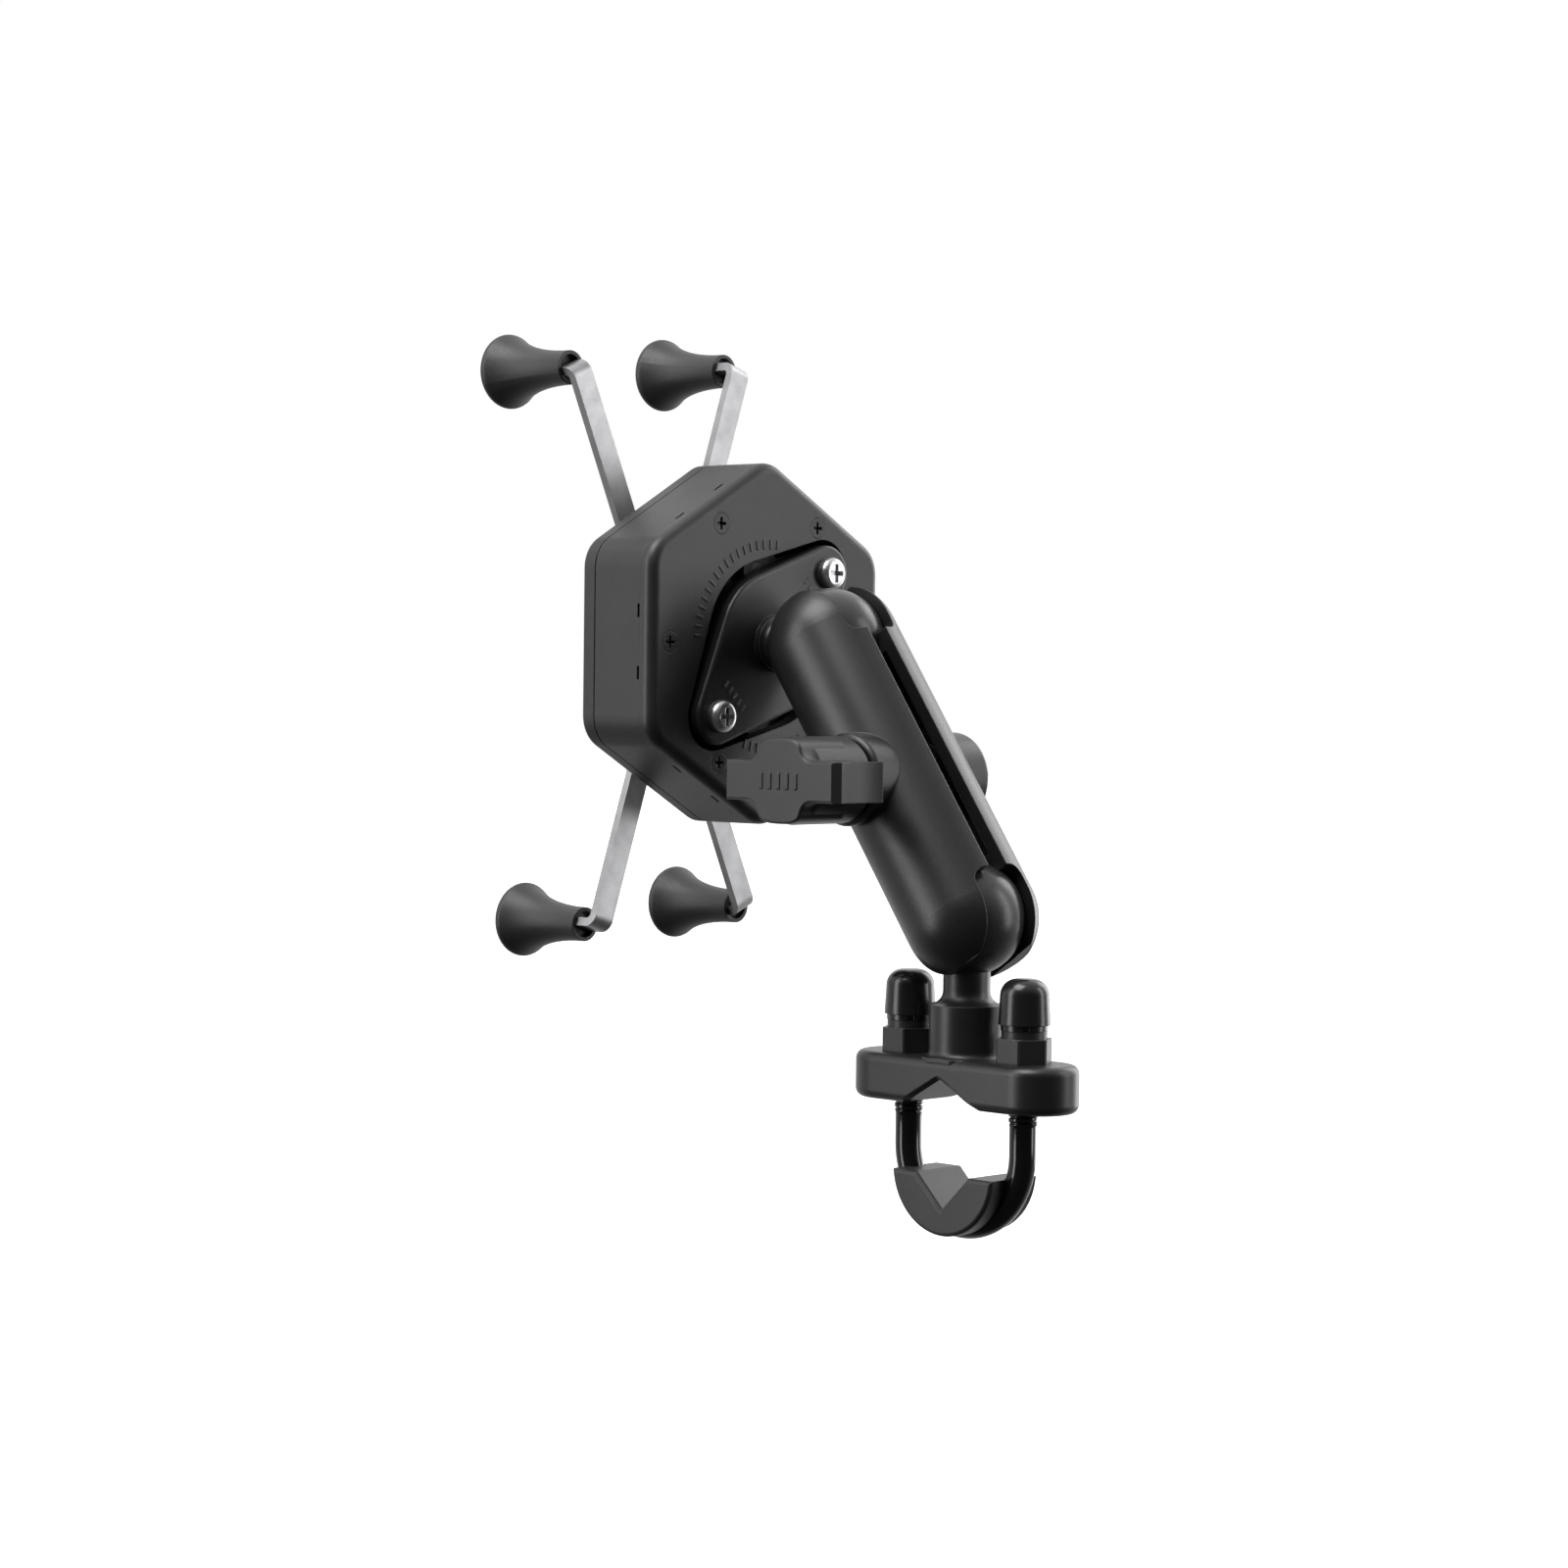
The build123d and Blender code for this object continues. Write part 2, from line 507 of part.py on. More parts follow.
def clamp_spring():
    length = 2 * (SPRING_POCKET_DEPTH - SPRING_END_GAP)
    radius = SPRING_POCKET_RADIUS - SPRING_SIDE_GAP - SPRING_WIRE / 2
    spring = coil(radius, SPRING_WIRE, length, SPRING_TURNS)
    return along_bolt(Pos(0, 0, -length / 2) * spring)


def clamp_washer():
    return along_bolt(ring(WASHER_RADIUS, BOLT_RADIUS + BOLT_HOLE_GAP,
                           (0, 0, -KNOB_BOSS_REACH), (0, 0, -WASHER_END)))


def knob_outline():
    """Face of the wing knob: two blunt wings and a round bulge in the middle."""
    tip, height = KNOB_LENGTH / 2, KNOB_TIP_HEIGHT / 2
    waist, bulge = KNOB_WAIST_HALF_WIDTH, KNOB_BULGE_HALF_WIDTH
    top = KNOB_BULGE_HEIGHT / 2
    half_way = Vector((waist + bulge) / 2, (height + top) / 2)
    edges = []
    for sx in (-1, 1):
        for sy in (-1, 1):
            corner = Vector(sx * tip, sy * height)
            root = Vector(sx * waist, sy * height)
            turn = Vector(sx * half_way.X, sy * half_way.Y)
            crest = Vector(0, sy * top)
            edges.append(Line(corner, root))
            edges.append(TangentArc(root, turn, tangent=(-sx, 0)))
            edges.append(Spline(turn, crest, tangents=(edges[-1] % 1, (-sx, 0))))
        edges.append(Line((sx * tip, -height), (sx * tip, height)))
    return make_face(edges)


def knob_plan():
    """The knob seen along its short side: a chamfered face, and tips hollowed behind it."""
    face = -KNOB_FACE_REACH
    middle = face + KNOB_WING_DEPTH / 2
    back = face + KNOB_WING_DEPTH
    rim = KNOB_FACE_LENGTH / 2
    edges = [
        Line((KNOB_TIP_CHAMFER - rim, 0, face), (rim - KNOB_TIP_CHAMFER, 0, face)),
        Line((-KNOB_LENGTH / 2, 0, back), (KNOB_LENGTH / 2, 0, back)),
    ]
    for side in (-1, 1):
        shoulder = (side * rim, 0, face + KNOB_TIP_CHAMFER)
        edges.append(Line((side * (rim - KNOB_TIP_CHAMFER), 0, face), shoulder))
        edges.append(ThreePointArc(shoulder, (side * KNOB_HOLLOW_LENGTH / 2, 0, middle),
                                   (side * KNOB_LENGTH / 2, 0, back)))
    return make_face(edges)


def knob_body():
    wing = Pos(0, 0, -KNOB_FACE_REACH) * extrude(knob_outline(), KNOB_WING_DEPTH)
    wing = fillet(wing.faces().sort_by(Axis.Z)[0].edges(), KNOB_EDGE_RADIUS)
    wing &= extrude(knob_plan(), KNOB_BULGE_HEIGHT, both=True)
    hub = rod(KNOB_HUB_RADIUS, (0, 0, -KNOB_FACE_REACH + KNOB_HUB_SINK), (0, 0, -WASHER_END))
    hub = fillet(hub.edges().sort_by(Axis.Z)[0], KNOB_HUB_FACE_RADIUS)
    hub = fillet(hub.edges().sort_by(Axis.Z)[-1], KNOB_HUB_BACK_RADIUS)
    knob = wing + hub
    knob -= rod(INSERT_RADIUS, (0, 0, -WASHER_END - INSERT_LENGTH), (0, 0, 0))
    knob -= rod(BOLT_RADIUS + BOLT_HOLE_GAP, (0, 0, -KNOB_FACE_REACH + BOLT_END_WALL), (0, 0, 0))
    return along_bolt(knob)


def knob_insert():
    return along_bolt(ring(INSERT_RADIUS, BOLT_RADIUS + THREAD_GAP,
                           (0, 0, -WASHER_END - INSERT_LENGTH), (0, 0, -WASHER_END)))


# ---- diamond ball base and isolator ----

def diamond(tip_radius, waist_radius, start, end):
    """A rounded diamond between two heights: two tip circles wrapped round a middle circle."""
    reach = DIAMOND_HOLE_SPACING / 2
    tips = [Pos(side * reach, 0) * Circle(tip_radius) for side in (-1, 1)]
    spread = asin((waist_radius - tip_radius) / reach)
    wrap = []
    for side in (-1, 1):
        direction = Vector(side * sin(spread), cos(spread))
        mirrored = Vector(direction.X, -direction.Y)
        tip = Vector(side * reach, 0)
        wrap.append(make_face(Polyline(direction * waist_radius, tip + direction * tip_radius,
                                       tip + mirrored * tip_radius, mirrored * waist_radius,
                                       close=True)))
    outline = Circle(waist_radius) + tips + wrap
    return Pos(0, 0, start) * Rot(0, 0, DIAMOND_ANGLE) * extrude(outline, end - start)


def diamond_screw_places():
    reach = DIAMOND_HOLE_SPACING / 2
    turn = radians(DIAMOND_ANGLE)
    return [(side * reach * cos(turn), side * reach * sin(turn)) for side in (-1, 1)]


def bush_places():
    return [(BUSH_CIRCLE_RADIUS * cos(radians(360 / BUSH_COUNT * i)),
             BUSH_CIRCLE_RADIUS * sin(radians(360 / BUSH_COUNT * i))) for i in range(BUSH_COUNT)]


def screw_places():
    return [(SCREW_CIRCLE_RADIUS * cos(radians(60 * i)), SCREW_CIRCLE_RADIUS * sin(radians(60 * i)))
            for i in range(6)]


def diamond_base():
    plate = diamond(DIAMOND_TIP_RADIUS, DIAMOND_WAIST_RADIUS, HEAD_STANDOFF, DIAMOND_BACK)
    plate = fillet(plate.edges().group_by(Axis.Z)[0], DIAMOND_EDGE_RADIUS)
    core_end = sqrt(CORE_RADIUS ** 2 - NECK_RADIUS ** 2) - 1
    flare = stem_profile(-DIAMOND_BACK + 1, -HEAD_STANDOFF + STEM_FLARE_HEIGHT, -core_end,
                         STEM_FLARE_RADIUS, NECK_RADIUS)
    stem = Rot(180, 0, 0) * revolve_edges(flare)
    base = plate + stem + Sphere(CORE_RADIUS)
    for x, y in diamond_screw_places():
        base -= rod(PAN_SHANK_RADIUS + PAN_HOLE_GAP, (x, y, 0), (x, y, 2 * DIAMOND_BACK))
    return HEAD_FRAME * base


def cross_recess(length, width, depth):
    """The space of a cross-head driver, centred on the XY plane."""
    blade = Box(length, width, 2 * depth)
    return blade + Rot(0, 0, 90) * blade


def ball_base_screws():
    length = ISOLATOR_END + PAN_NUT_HEIGHT + PAN_SCREW_TAIL
    recess = cross_recess(PAN_RECESS_LENGTH, PAN_RECESS_WIDTH, PAN_RECESS_DEPTH)
    screws = []
    for x, y in diamond_screw_places():
        head = rod(PAN_HEAD_RADIUS, (x, y, HEAD_STANDOFF - PAN_HEAD_HEIGHT), (x, y, HEAD_STANDOFF))
        head = fillet(head.edges().sort_by(Axis.Z)[0], PAN_HEAD_EDGE_RADIUS)
        head -= Pos(x, y, HEAD_STANDOFF - PAN_HEAD_HEIGHT) * recess
        screws.append(head + rod(PAN_SHANK_RADIUS, (x, y, HEAD_STANDOFF), (x, y, length)))
    return HEAD_FRAME * Compound(screws)


def ball_base_nuts():
    bore = rod(PAN_SHANK_RADIUS + THREAD_GAP, (0, 0, -1), (0, 0, 2 * PAN_NUT_HEIGHT))
    nut = hexagon(PAN_NUT_ACROSS_FLATS, PAN_NUT_HEIGHT) - bore
    return HEAD_FRAME * Compound([Pos(x, y, ISOLATOR_END) * nut for x, y in diamond_screw_places()])


def isolator_plate():
    """Floating plate inside the housing, with a raised pad that carries the diamond base."""
    plate = diamond(DIAMOND_TIP_RADIUS - PAD_STEP, DIAMOND_WAIST_RADIUS, ISOLATOR_START, ISOLATOR_END)
    plate += rod(ISOLATOR_RADIUS, (0, 0, ISOLATOR_START), (0, 0, ISOLATOR_END))
    plate += diamond(DIAMOND_TIP_RADIUS - PAD_STEP, DIAMOND_WAIST_RADIUS - PAD_STEP,
                     DIAMOND_BACK, ISOLATOR_START + 1)
    for x, y in diamond_screw_places():
        plate -= rod(PAN_SHANK_RADIUS + PAN_HOLE_GAP, (x, y, 0), (x, y, 2 * ISOLATOR_END))
    for x, y in bush_places():
        plate -= rod(BUSH_WAIST_RADIUS + BUSH_GAP, (x, y, ISOLATOR_START), (x, y, 2 * ISOLATOR_END))
        plate -= rod(BUSH_RADIUS + FLOAT_TRAVEL, (x, y, 0), (x, y, ISOLATOR_START))
    return HEAD_FRAME * plate


def isolator_bushes():
    bushes = []
    for x, y in bush_places():
        back = rod(BUSH_RADIUS, (x, y, BODY_START), (x, y, ISOLATOR_START - BUSH_GAP))
        waist = rod(BUSH_WAIST_RADIUS, (x, y, BODY_START), (x, y, WEB_START))
        front = rod(BUSH_RADIUS, (x, y, ISOLATOR_END + BUSH_GAP), (x, y, WEB_START))
        bore = rod(POST_RADIUS + BUSH_GAP, (x, y, 0), (x, y, FRONT_FACE))
        bushes.append(back + waist + front - bore)
    return HEAD_FRAME * Compound(bushes)


# ---- housing ----

def hex_outline(inset=0):
    """The housing's outline: a hexagon with a corner up and rounded corners."""
    radius = HOUSING_VERTEX_RADIUS - inset / cos(radians(30))
    outline = RegularPolygon(radius, 6, rotation=30)
    return fillet(outline.vertices(), max(HOUSING_CORNER_RADIUS - inset, 1))


def hex_slab(start, end, inset=0):
    return Pos(0, 0, start) * extrude(hex_outline(inset), end - start)


def seam_slots(seam):
    """Small slots beside a seam, two on each flat of the housing."""
    flat = HOUSING_VERTEX_RADIUS * cos(radians(30))
    slots = []
    for turn in range(6):
        for side in (-1, 1):
            middle = side * SEAM_SLOT_SPACING / 2
            half = SEAM_SLOT_LENGTH / 2
            slot = block((flat - SEAM_SLOT_DEPTH, middle - half, seam),
                         (flat + 1, middle + half, seam + SEAM_SLOT_WIDTH))
            slots.append(Rot(0, 0, 60 * turn) * slot)
    return slots


def housing_back_cover():
    cover = hex_slab(BACK_FACE, BODY_START)
    cover = fillet(cover.edges().group_by(Axis.Z)[0], HOUSING_EDGE_RADIUS)
    cover -= diamond(DIAMOND_TIP_RADIUS + OPENING_TIP_GAP, DIAMOND_WAIST_RADIUS + OPENING_WAIST_GAP,
                     BACK_FACE - 1, BODY_START + 1)
    for x, y in screw_places():
        shank = SCREW_SHANK_RADIUS + SCREW_HOLE_GAP
        sink = Cone(SCREW_HEAD_RADIUS + SCREW_HOLE_GAP, shank, SCREW_HEAD_HEIGHT, align=UPWARD)
        cover -= Pos(x, y, BACK_FACE) * sink + rod(shank, (x, y, BACK_FACE - 1), (x, y, BODY_START + 1))
    return HEAD_FRAME * cover


def housing_body():
    body = hex_slab(BODY_START, FRONT_COVER_START)
    cavity = hex_slab(BODY_START - 1, WEB_START, HOUSING_WALL)
    for x, y in screw_places():
        cavity -= rod(SCREW_BOSS_RADIUS, (x, y, 0), (x, y, FRONT_FACE))
    body -= cavity
    for x, y in bush_places():
        body += rod(POST_RADIUS, (x, y, BODY_START + BUSH_GAP), (x, y, WEB_START + 1))
    for x, y in screw_places():
        body -= rod(SCREW_SHANK_RADIUS, (x, y, 0), (x, y, BACK_FACE + SCREW_LENGTH))
    body -= seam_slots(BODY_START)
    return HEAD_FRAME * body


def housing_front_cover():
    cover = hex_slab(FRONT_COVER_START + SEAM_GROOVE, FRONT_FACE)
    cover = fillet(cover.edges().group_by(Axis.Z)[-1], HOUSING_EDGE_RADIUS / 2)
    cover += hex_slab(FRONT_COVER_START, FRONT_COVER_START + SEAM_GROOVE, SEAM_GROOVE)
    cover -= rod(PIVOT_RADIUS, (0, 0, 0), (0, 0, 2 * FRONT_FACE))
    return HEAD_FRAME * cover


def housing_screws():
    head = Cone(SCREW_HEAD_RADIUS, SCREW_SHANK_RADIUS, SCREW_HEAD_HEIGHT, align=UPWARD)
    head -= cross_recess(SCREW_RECESS_LENGTH, SCREW_RECESS_WIDTH, SCREW_RECESS_DEPTH)
    shank = rod(SCREW_SHANK_RADIUS, (0, 0, SCREW_HEAD_HEIGHT), (0, 0, SCREW_LENGTH))
    screw = Pos(0, 0, BACK_FACE) * (head + shank)
    return HEAD_FRAME * Compound([Pos(x, y, 0) * screw for x, y in screw_places()])


# ---- phone grip ----

def hub_base():
    """Round cup on the housing's front that holds the grip's spring."""
    end = FRONT_FACE + HUB_BASE_HEIGHT
    cup = rod(HUB_RADIUS, (0, 0, FRONT_FACE), (0, 0, end))
    floor = FRONT_FACE + HUB_WALL
    inner = GRIP_SPRING_RADIUS - 2 * GRIP_SPRING_WIRE
    cup -= rod(GRIP_SPRING_RADIUS + 2 * GRIP_SPRING_WIRE, (0, 0, floor), (0, 0, end + 1))
    cup += rod(inner, (0, 0, floor), (0, 0, end))
    cup -= rod(PIVOT_RADIUS, (0, 0, 0), (0, 0, 2 * FRONT_FACE))
    return HEAD_FRAME * cup


def hub_spring():
    length = HUB_BASE_HEIGHT - HUB_WALL - 2 * GRIP_SPRING_END_GAP
    spring = coil(GRIP_SPRING_RADIUS, GRIP_SPRING_WIRE, length, GRIP_SPRING_TURNS)
    return HEAD_FRAME * Pos(0, 0, FRONT_FACE + HUB_WALL + GRIP_SPRING_END_GAP) * spring


def cup_tilts(side):
    """Turns about the pivot that bring a cup at the top to each end of one bar."""
    tilt = side * BAR_TILT + GRIP_TURN
    return (tilt, tilt + 180)


def grip_bar(start, side):
    """Flat steel bar with an eye in the middle and both ends bent towards the phone."""
    end_tab = CUP_START + BAR_TAB_LENGTH
    half = BAR_THICKNESS / 2
    reach = BAR_REACH + half
    inner_reach = reach - BAR_THICKNESS
    end = start + BAR_THICKNESS
    side_view = make_face(Polyline((0, start), (reach, start), (reach, end_tab), (inner_reach, end_tab),
                                   (inner_reach, end), (0, end), close=True))
    corners = side_view.vertices()
    outer = corners.sort_by_distance((reach, start))[0]
    inner = corners.sort_by_distance((inner_reach, end))[0]
    side_view = fillet(outer, BAR_BEND_RADIUS)
    inner = side_view.vertices().sort_by_distance(inner)[0]
    side_view = fillet(inner, BAR_BEND_RADIUS - BAR_THICKNESS)
    limb = extrude(Plane.YZ * side_view, BAR_WIDTH / 2, both=True)
    eye = rod(BAR_EYE_RADIUS, (0, 0, start), (0, 0, start + BAR_THICKNESS))
    bar = eye + [Rot(0, 0, turn) * limb for turn in cup_tilts(side)]
    return HEAD_FRAME * (bar - rod(PIVOT_RADIUS + PIVOT_GAP, (0, 0, 0), (0, 0, 2 * end_tab)))


def grip_cup():
    """Flared rubber cup on a bar's end tab, along Z."""
    rim = CUP_LENGTH - CUP_DOME_DEPTH
    flare = radians(CUP_FLARE)
    # The rounded rim is an arc that starts square to the flaring wall and ends on the dome.
    centre = Vector(CUP_WIDE_RADIUS - CUP_EDGE_RADIUS, 0, rim)
    flare_start = Vector(CUP_NARROW_RADIUS, 0, 0)
    flare_end = centre + Vector(cos(flare), 0, -sin(flare)) * CUP_EDGE_RADIUS
    widest = centre + Vector(CUP_EDGE_RADIUS, 0, 0)
    dome_start = centre + Vector(sin(flare), 0, cos(flare)) * CUP_EDGE_RADIUS
    outline = [
        Line((0, 0, 0), flare_start),
        Spline(flare_start, flare_end, tangents=((0, 0, 1), (sin(flare), 0, cos(flare)))),
        ThreePointArc(flare_end, widest, dome_start),
        Spline(dome_start, (0, 0, CUP_LENGTH), tangents=((-cos(flare), 0, sin(flare)), (-1, 0, 0))),
        Line((0, 0, CUP_LENGTH), (0, 0, 0)),
    ]
    cup = revolve_edges(outline)
    cup -= rod(CUP_MOUTH_RADIUS, (0, 0, -1), (0, 0, CUP_MOUTH_DEPTH))
    half_width = BAR_WIDTH / 2
    half_thickness = BAR_THICKNESS / 2
    slot = block((-half_width, -half_thickness, -1), (half_width, half_thickness, BAR_TAB_LENGTH))
    return cup - slot


def grip_cups(side):
    cup = Pos(0, BAR_REACH, CUP_START) * grip_cup()
    return HEAD_FRAME * Compound([Rot(0, 0, turn) * cup for turn in cup_tilts(side)])


def hub_cover():
    cover = rod(HUB_RADIUS, (0, 0, HUB_COVER_START), (0, 0, HUB_COVER_END))
    cover = fillet(cover.edges().sort_by(Axis.Z)[-1], HUB_EDGE_RADIUS)
    cover -= rod(PIVOT_RADIUS, (0, 0, 0), (0, 0, 2 * FRONT_FACE))
    seat = HUB_COVER_END - PIVOT_HEAD_HEIGHT
    cover -= rod(PIVOT_HEAD_RADIUS + PIVOT_HEAD_GAP, (0, 0, seat), (0, 0, 2 * FRONT_FACE))
    return HEAD_FRAME * cover


def pivot_rivet():
    shank = rod(PIVOT_RADIUS, (0, 0, FRONT_COVER_START), (0, 0, HUB_COVER_END))
    head = rod(PIVOT_HEAD_RADIUS, (0, 0, HUB_COVER_END - PIVOT_HEAD_HEIGHT), (0, 0, HUB_COVER_END))
    return HEAD_FRAME * (shank + head)


def phone_pad():
    pad = rod(PAD_RADIUS, (0, 0, HUB_COVER_END), (0, 0, HUB_COVER_END + PAD_THICKNESS))
    return HEAD_FRAME * fillet(pad.edges().sort_by(Axis.Z)[-1], PAD_THICKNESS / 2)


NODES = {
    "base_plate": base_plate(),
    "u_bolt": u_bolt(),
    "rail_saddle": rail_saddle(),
    "lock_nut_rear": lock_nut(-LEG_X),
    "lock_nut_front": lock_nut(LEG_X),
    "nylon_ring_rear": nylon_ring(-LEG_X),
    "nylon_ring_front": nylon_ring(LEG_X),
    "nut_cap_rear": nut_cap(-LEG_X),
    "nut_cap_front": nut_cap(LEG_X),
    "base_ball_cover": ball_cover((0, 0, -1), BASE_BALL),
    "arm_shell_knob_side": arm_shell_knob_side(),
    "arm_shell_bolt_side": arm_shell_bolt_side(),
    "clamp_bolt": clamp_bolt(),
    "clamp_spring": clamp_spring(),
    "clamp_washer": clamp_washer(),
    "knob_body": knob_body(),
    "knob_insert": knob_insert(),
    "head_ball_cover": ball_cover((-1, 0, 0), HEAD_BALL),
    "diamond_base": diamond_base(),
    "ball_base_screws": ball_base_screws(),
    "ball_base_nuts": ball_base_nuts(),
    "isolator_plate": isolator_plate(),
    "isolator_bushes": isolator_bushes(),
    "housing_back_cover": housing_back_cover(),
    "housing_body": housing_body(),
    "housing_front_cover": housing_front_cover(),
    "housing_screws": housing_screws(),
    "hub_base": hub_base(),
    "hub_spring": hub_spring(),
    "grip_bar_a": grip_bar(BAR_A_START, 1),
    "grip_bar_b": grip_bar(BAR_B_START, -1),
    "grip_cups_a": grip_cups(1),
    "grip_cups_b": grip_cups(-1),
    "hub_cover": hub_cover(),
    "pivot_rivet": pivot_rivet(),
    "phone_pad": phone_pad(),
}

os.makedirs("parts", exist_ok=True)
for name, solid in NODES.items():
    export_step(solid, f"parts/{name}.step")
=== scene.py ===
import json
from math import cos, pi, radians, sin, tau

import bpy
from mathutils import Matrix, Vector


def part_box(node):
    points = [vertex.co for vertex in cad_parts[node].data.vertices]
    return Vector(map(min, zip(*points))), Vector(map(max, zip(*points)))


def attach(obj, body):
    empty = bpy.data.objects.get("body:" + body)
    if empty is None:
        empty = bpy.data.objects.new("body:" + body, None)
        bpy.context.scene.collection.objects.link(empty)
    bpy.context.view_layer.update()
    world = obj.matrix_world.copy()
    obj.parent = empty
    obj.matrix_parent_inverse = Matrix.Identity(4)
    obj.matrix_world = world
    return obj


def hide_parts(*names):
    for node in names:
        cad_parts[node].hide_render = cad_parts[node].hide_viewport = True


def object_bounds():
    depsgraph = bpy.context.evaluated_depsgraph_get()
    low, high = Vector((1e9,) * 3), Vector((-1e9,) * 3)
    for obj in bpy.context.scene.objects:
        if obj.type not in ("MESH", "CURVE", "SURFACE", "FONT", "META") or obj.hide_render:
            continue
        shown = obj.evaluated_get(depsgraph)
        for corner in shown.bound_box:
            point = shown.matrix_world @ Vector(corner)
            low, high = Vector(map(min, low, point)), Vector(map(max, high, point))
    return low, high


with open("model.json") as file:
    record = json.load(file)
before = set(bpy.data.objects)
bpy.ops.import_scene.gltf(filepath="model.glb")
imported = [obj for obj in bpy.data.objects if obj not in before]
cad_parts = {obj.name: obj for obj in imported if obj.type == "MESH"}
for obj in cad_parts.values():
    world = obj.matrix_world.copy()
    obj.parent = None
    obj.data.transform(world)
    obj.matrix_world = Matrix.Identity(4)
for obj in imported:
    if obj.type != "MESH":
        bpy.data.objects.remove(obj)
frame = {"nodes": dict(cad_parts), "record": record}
CAD_LOW, CAD_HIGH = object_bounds()

MM = 0.001
NODES = frame["nodes"]
JOINTS = {joint["name"]: joint for joint in frame["record"]["behaviour"]["joints"]}

# ---- the view ----
AZIMUTH = radians(44.53)
ELEVATION = radians(1.75)
ROLL = radians(0.68)
LENS = 83.95
DISTANCE = 802.8 * MM
AIM_RIGHT = -40.6 * MM        # of the point looked at from the rail's centre, across the view
AIM_UP = 76.6 * MM
FLOOR_DROP = 120 * MM         # of the floor under the mount's lowest point

# ---- places on the mount, from the CAD nodes ----
HEAD = Vector(JOINTS["head_spin"]["pos_m"])
KNOB = Vector(JOINTS["knob_turn"]["pos_m"])
HOUSING_BACK_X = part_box("housing_back_cover")[1].x
DIAMOND_STANDOFF = 17.8 * MM  # from the head ball's centre to the diamond's outer face
DIAMOND_FACE_X = HEAD.x - DIAMOND_STANDOFF
DIAMOND_ANGLE = radians(136.6)  # of its screws' line, as back_point counts it
KNOB_FACE_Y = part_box("knob_body")[0].y
PLATE_BOTTOM_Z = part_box("base_plate")[0].z

# ---- U-bolt ----
MAJOR_RADIUS = 3.175 * MM
MINOR_RADIUS = 2.72 * MM
SHANK_RADIUS = 2.95 * MM
THREAD_PITCH = 1.27 * MM
THREAD_BELOW_PLATE = 3.6 * MM
TIP_CHAMFER = 0.6 * MM
THREAD_STEPS = 10             # rings in one pitch
BEND_STEPS = 40
AROUND = 28                   # points round the rod
CREST_SLOPE = 2.4             # over 1, so that crests are flat-topped

# ---- ticks and bars ----
BACK_TICK_ARCS = ((4, 96, 22.9 * MM), (244, 288, 24.2 * MM))  # start, end in degrees, radius
BACK_TICK_SPACING = 2.15 * MM
BACK_TICK_HALF = (1.25 * MM, 0.34 * MM)
BACK_TICK_PROUD = 0.16 * MM
DIAMOND_TICK_REACH = 17.6 * MM
DIAMOND_TICK_SPACING = 1.9 * MM
DIAMOND_TICK_HALF = (1.1 * MM, 0.32 * MM)
DIAMOND_TICK_PROUD = 0.14 * MM
KNOB_BAR_SPACING = 2.6 * MM
KNOB_BAR_HALF = (2.1 * MM, 0.55 * MM)
KNOB_BAR_PROUD = 0.22 * MM
BAR_TOP_SHARE = 0.8           # of a bar's foot, at its top

# ---- studio sizes ----
FLOOR_REACH = 6.0
SOFTBOX_DISTANCE = 0.9


# ---- material building ----

def nodes_of(name):
    """A new material's node tree with a Principled shader, and the shader."""
    material = bpy.data.materials.new(name)
    material.use_nodes = True
    tree = material.node_tree
    tree.nodes.clear()
    output = tree.nodes.new("ShaderNodeOutputMaterial")
    shader = tree.nodes.new("ShaderNodeBsdfPrincipled")
    tree.links.new(shader.outputs["BSDF"], output.inputs["Surface"])
    return material, tree, shader


def noise(tree, scale, detail=3.0, stretch=(1, 1, 1)):
    """Noise in the object's own coordinates, in metres times scale."""
    where = tree.nodes.new("ShaderNodeTexCoord")
    mapping = tree.nodes.new("ShaderNodeMapping")
    mapping.inputs["Scale"].default_value = stretch
    texture = tree.nodes.new("ShaderNodeTexNoise")
    texture.inputs["Scale"].default_value = scale
    texture.inputs["Detail"].default_value = detail
    tree.links.new(where.outputs["Object"], mapping.inputs["Vector"])
    tree.links.new(mapping.outputs["Vector"], texture.inputs["Vector"])
    return texture.outputs["Fac"]


def spread(tree, value, low, high, start=0.3, end=0.7):
    """A value from start to end, spread over low to high."""
    node = tree.nodes.new("ShaderNodeMapRange")
    node.inputs["From Min"].default_value = start
    node.inputs["From Max"].default_value = end
    node.inputs["To Min"].default_value = low
    node.inputs["To Max"].default_value = high
    tree.links.new(value, node.inputs["Value"])
    return node.outputs["Result"]


def edge_mask(tree, radius):
    """About 1 on sharp edges and 0 on faces, and the normal rounded over the edges."""
    bevel = tree.nodes.new("ShaderNodeBevel")
    bevel.samples = 6
    bevel.inputs["Radius"].default_value = radius
    face = tree.nodes.new("ShaderNodeNewGeometry")
    same = tree.nodes.new("ShaderNodeVectorMath")
    same.operation = "DOT_PRODUCT"
    tree.links.new(bevel.outputs["Normal"], same.inputs[0])
    tree.links.new(face.outputs["Normal"], same.inputs[1])
    return spread(tree, same.outputs["Value"], 1.0, 0.0, 0.8, 0.99), bevel.outputs["Normal"]


def blend_colours(tree, share, low, high):
    mix = tree.nodes.new("ShaderNodeMix")
    mix.data_type = "RGBA"
    mix.inputs["A"].default_value = (*low, 1)
    mix.inputs["B"].default_value = (*high, 1)
    tree.links.new(share, mix.inputs["Factor"])
    return mix.outputs["Result"]


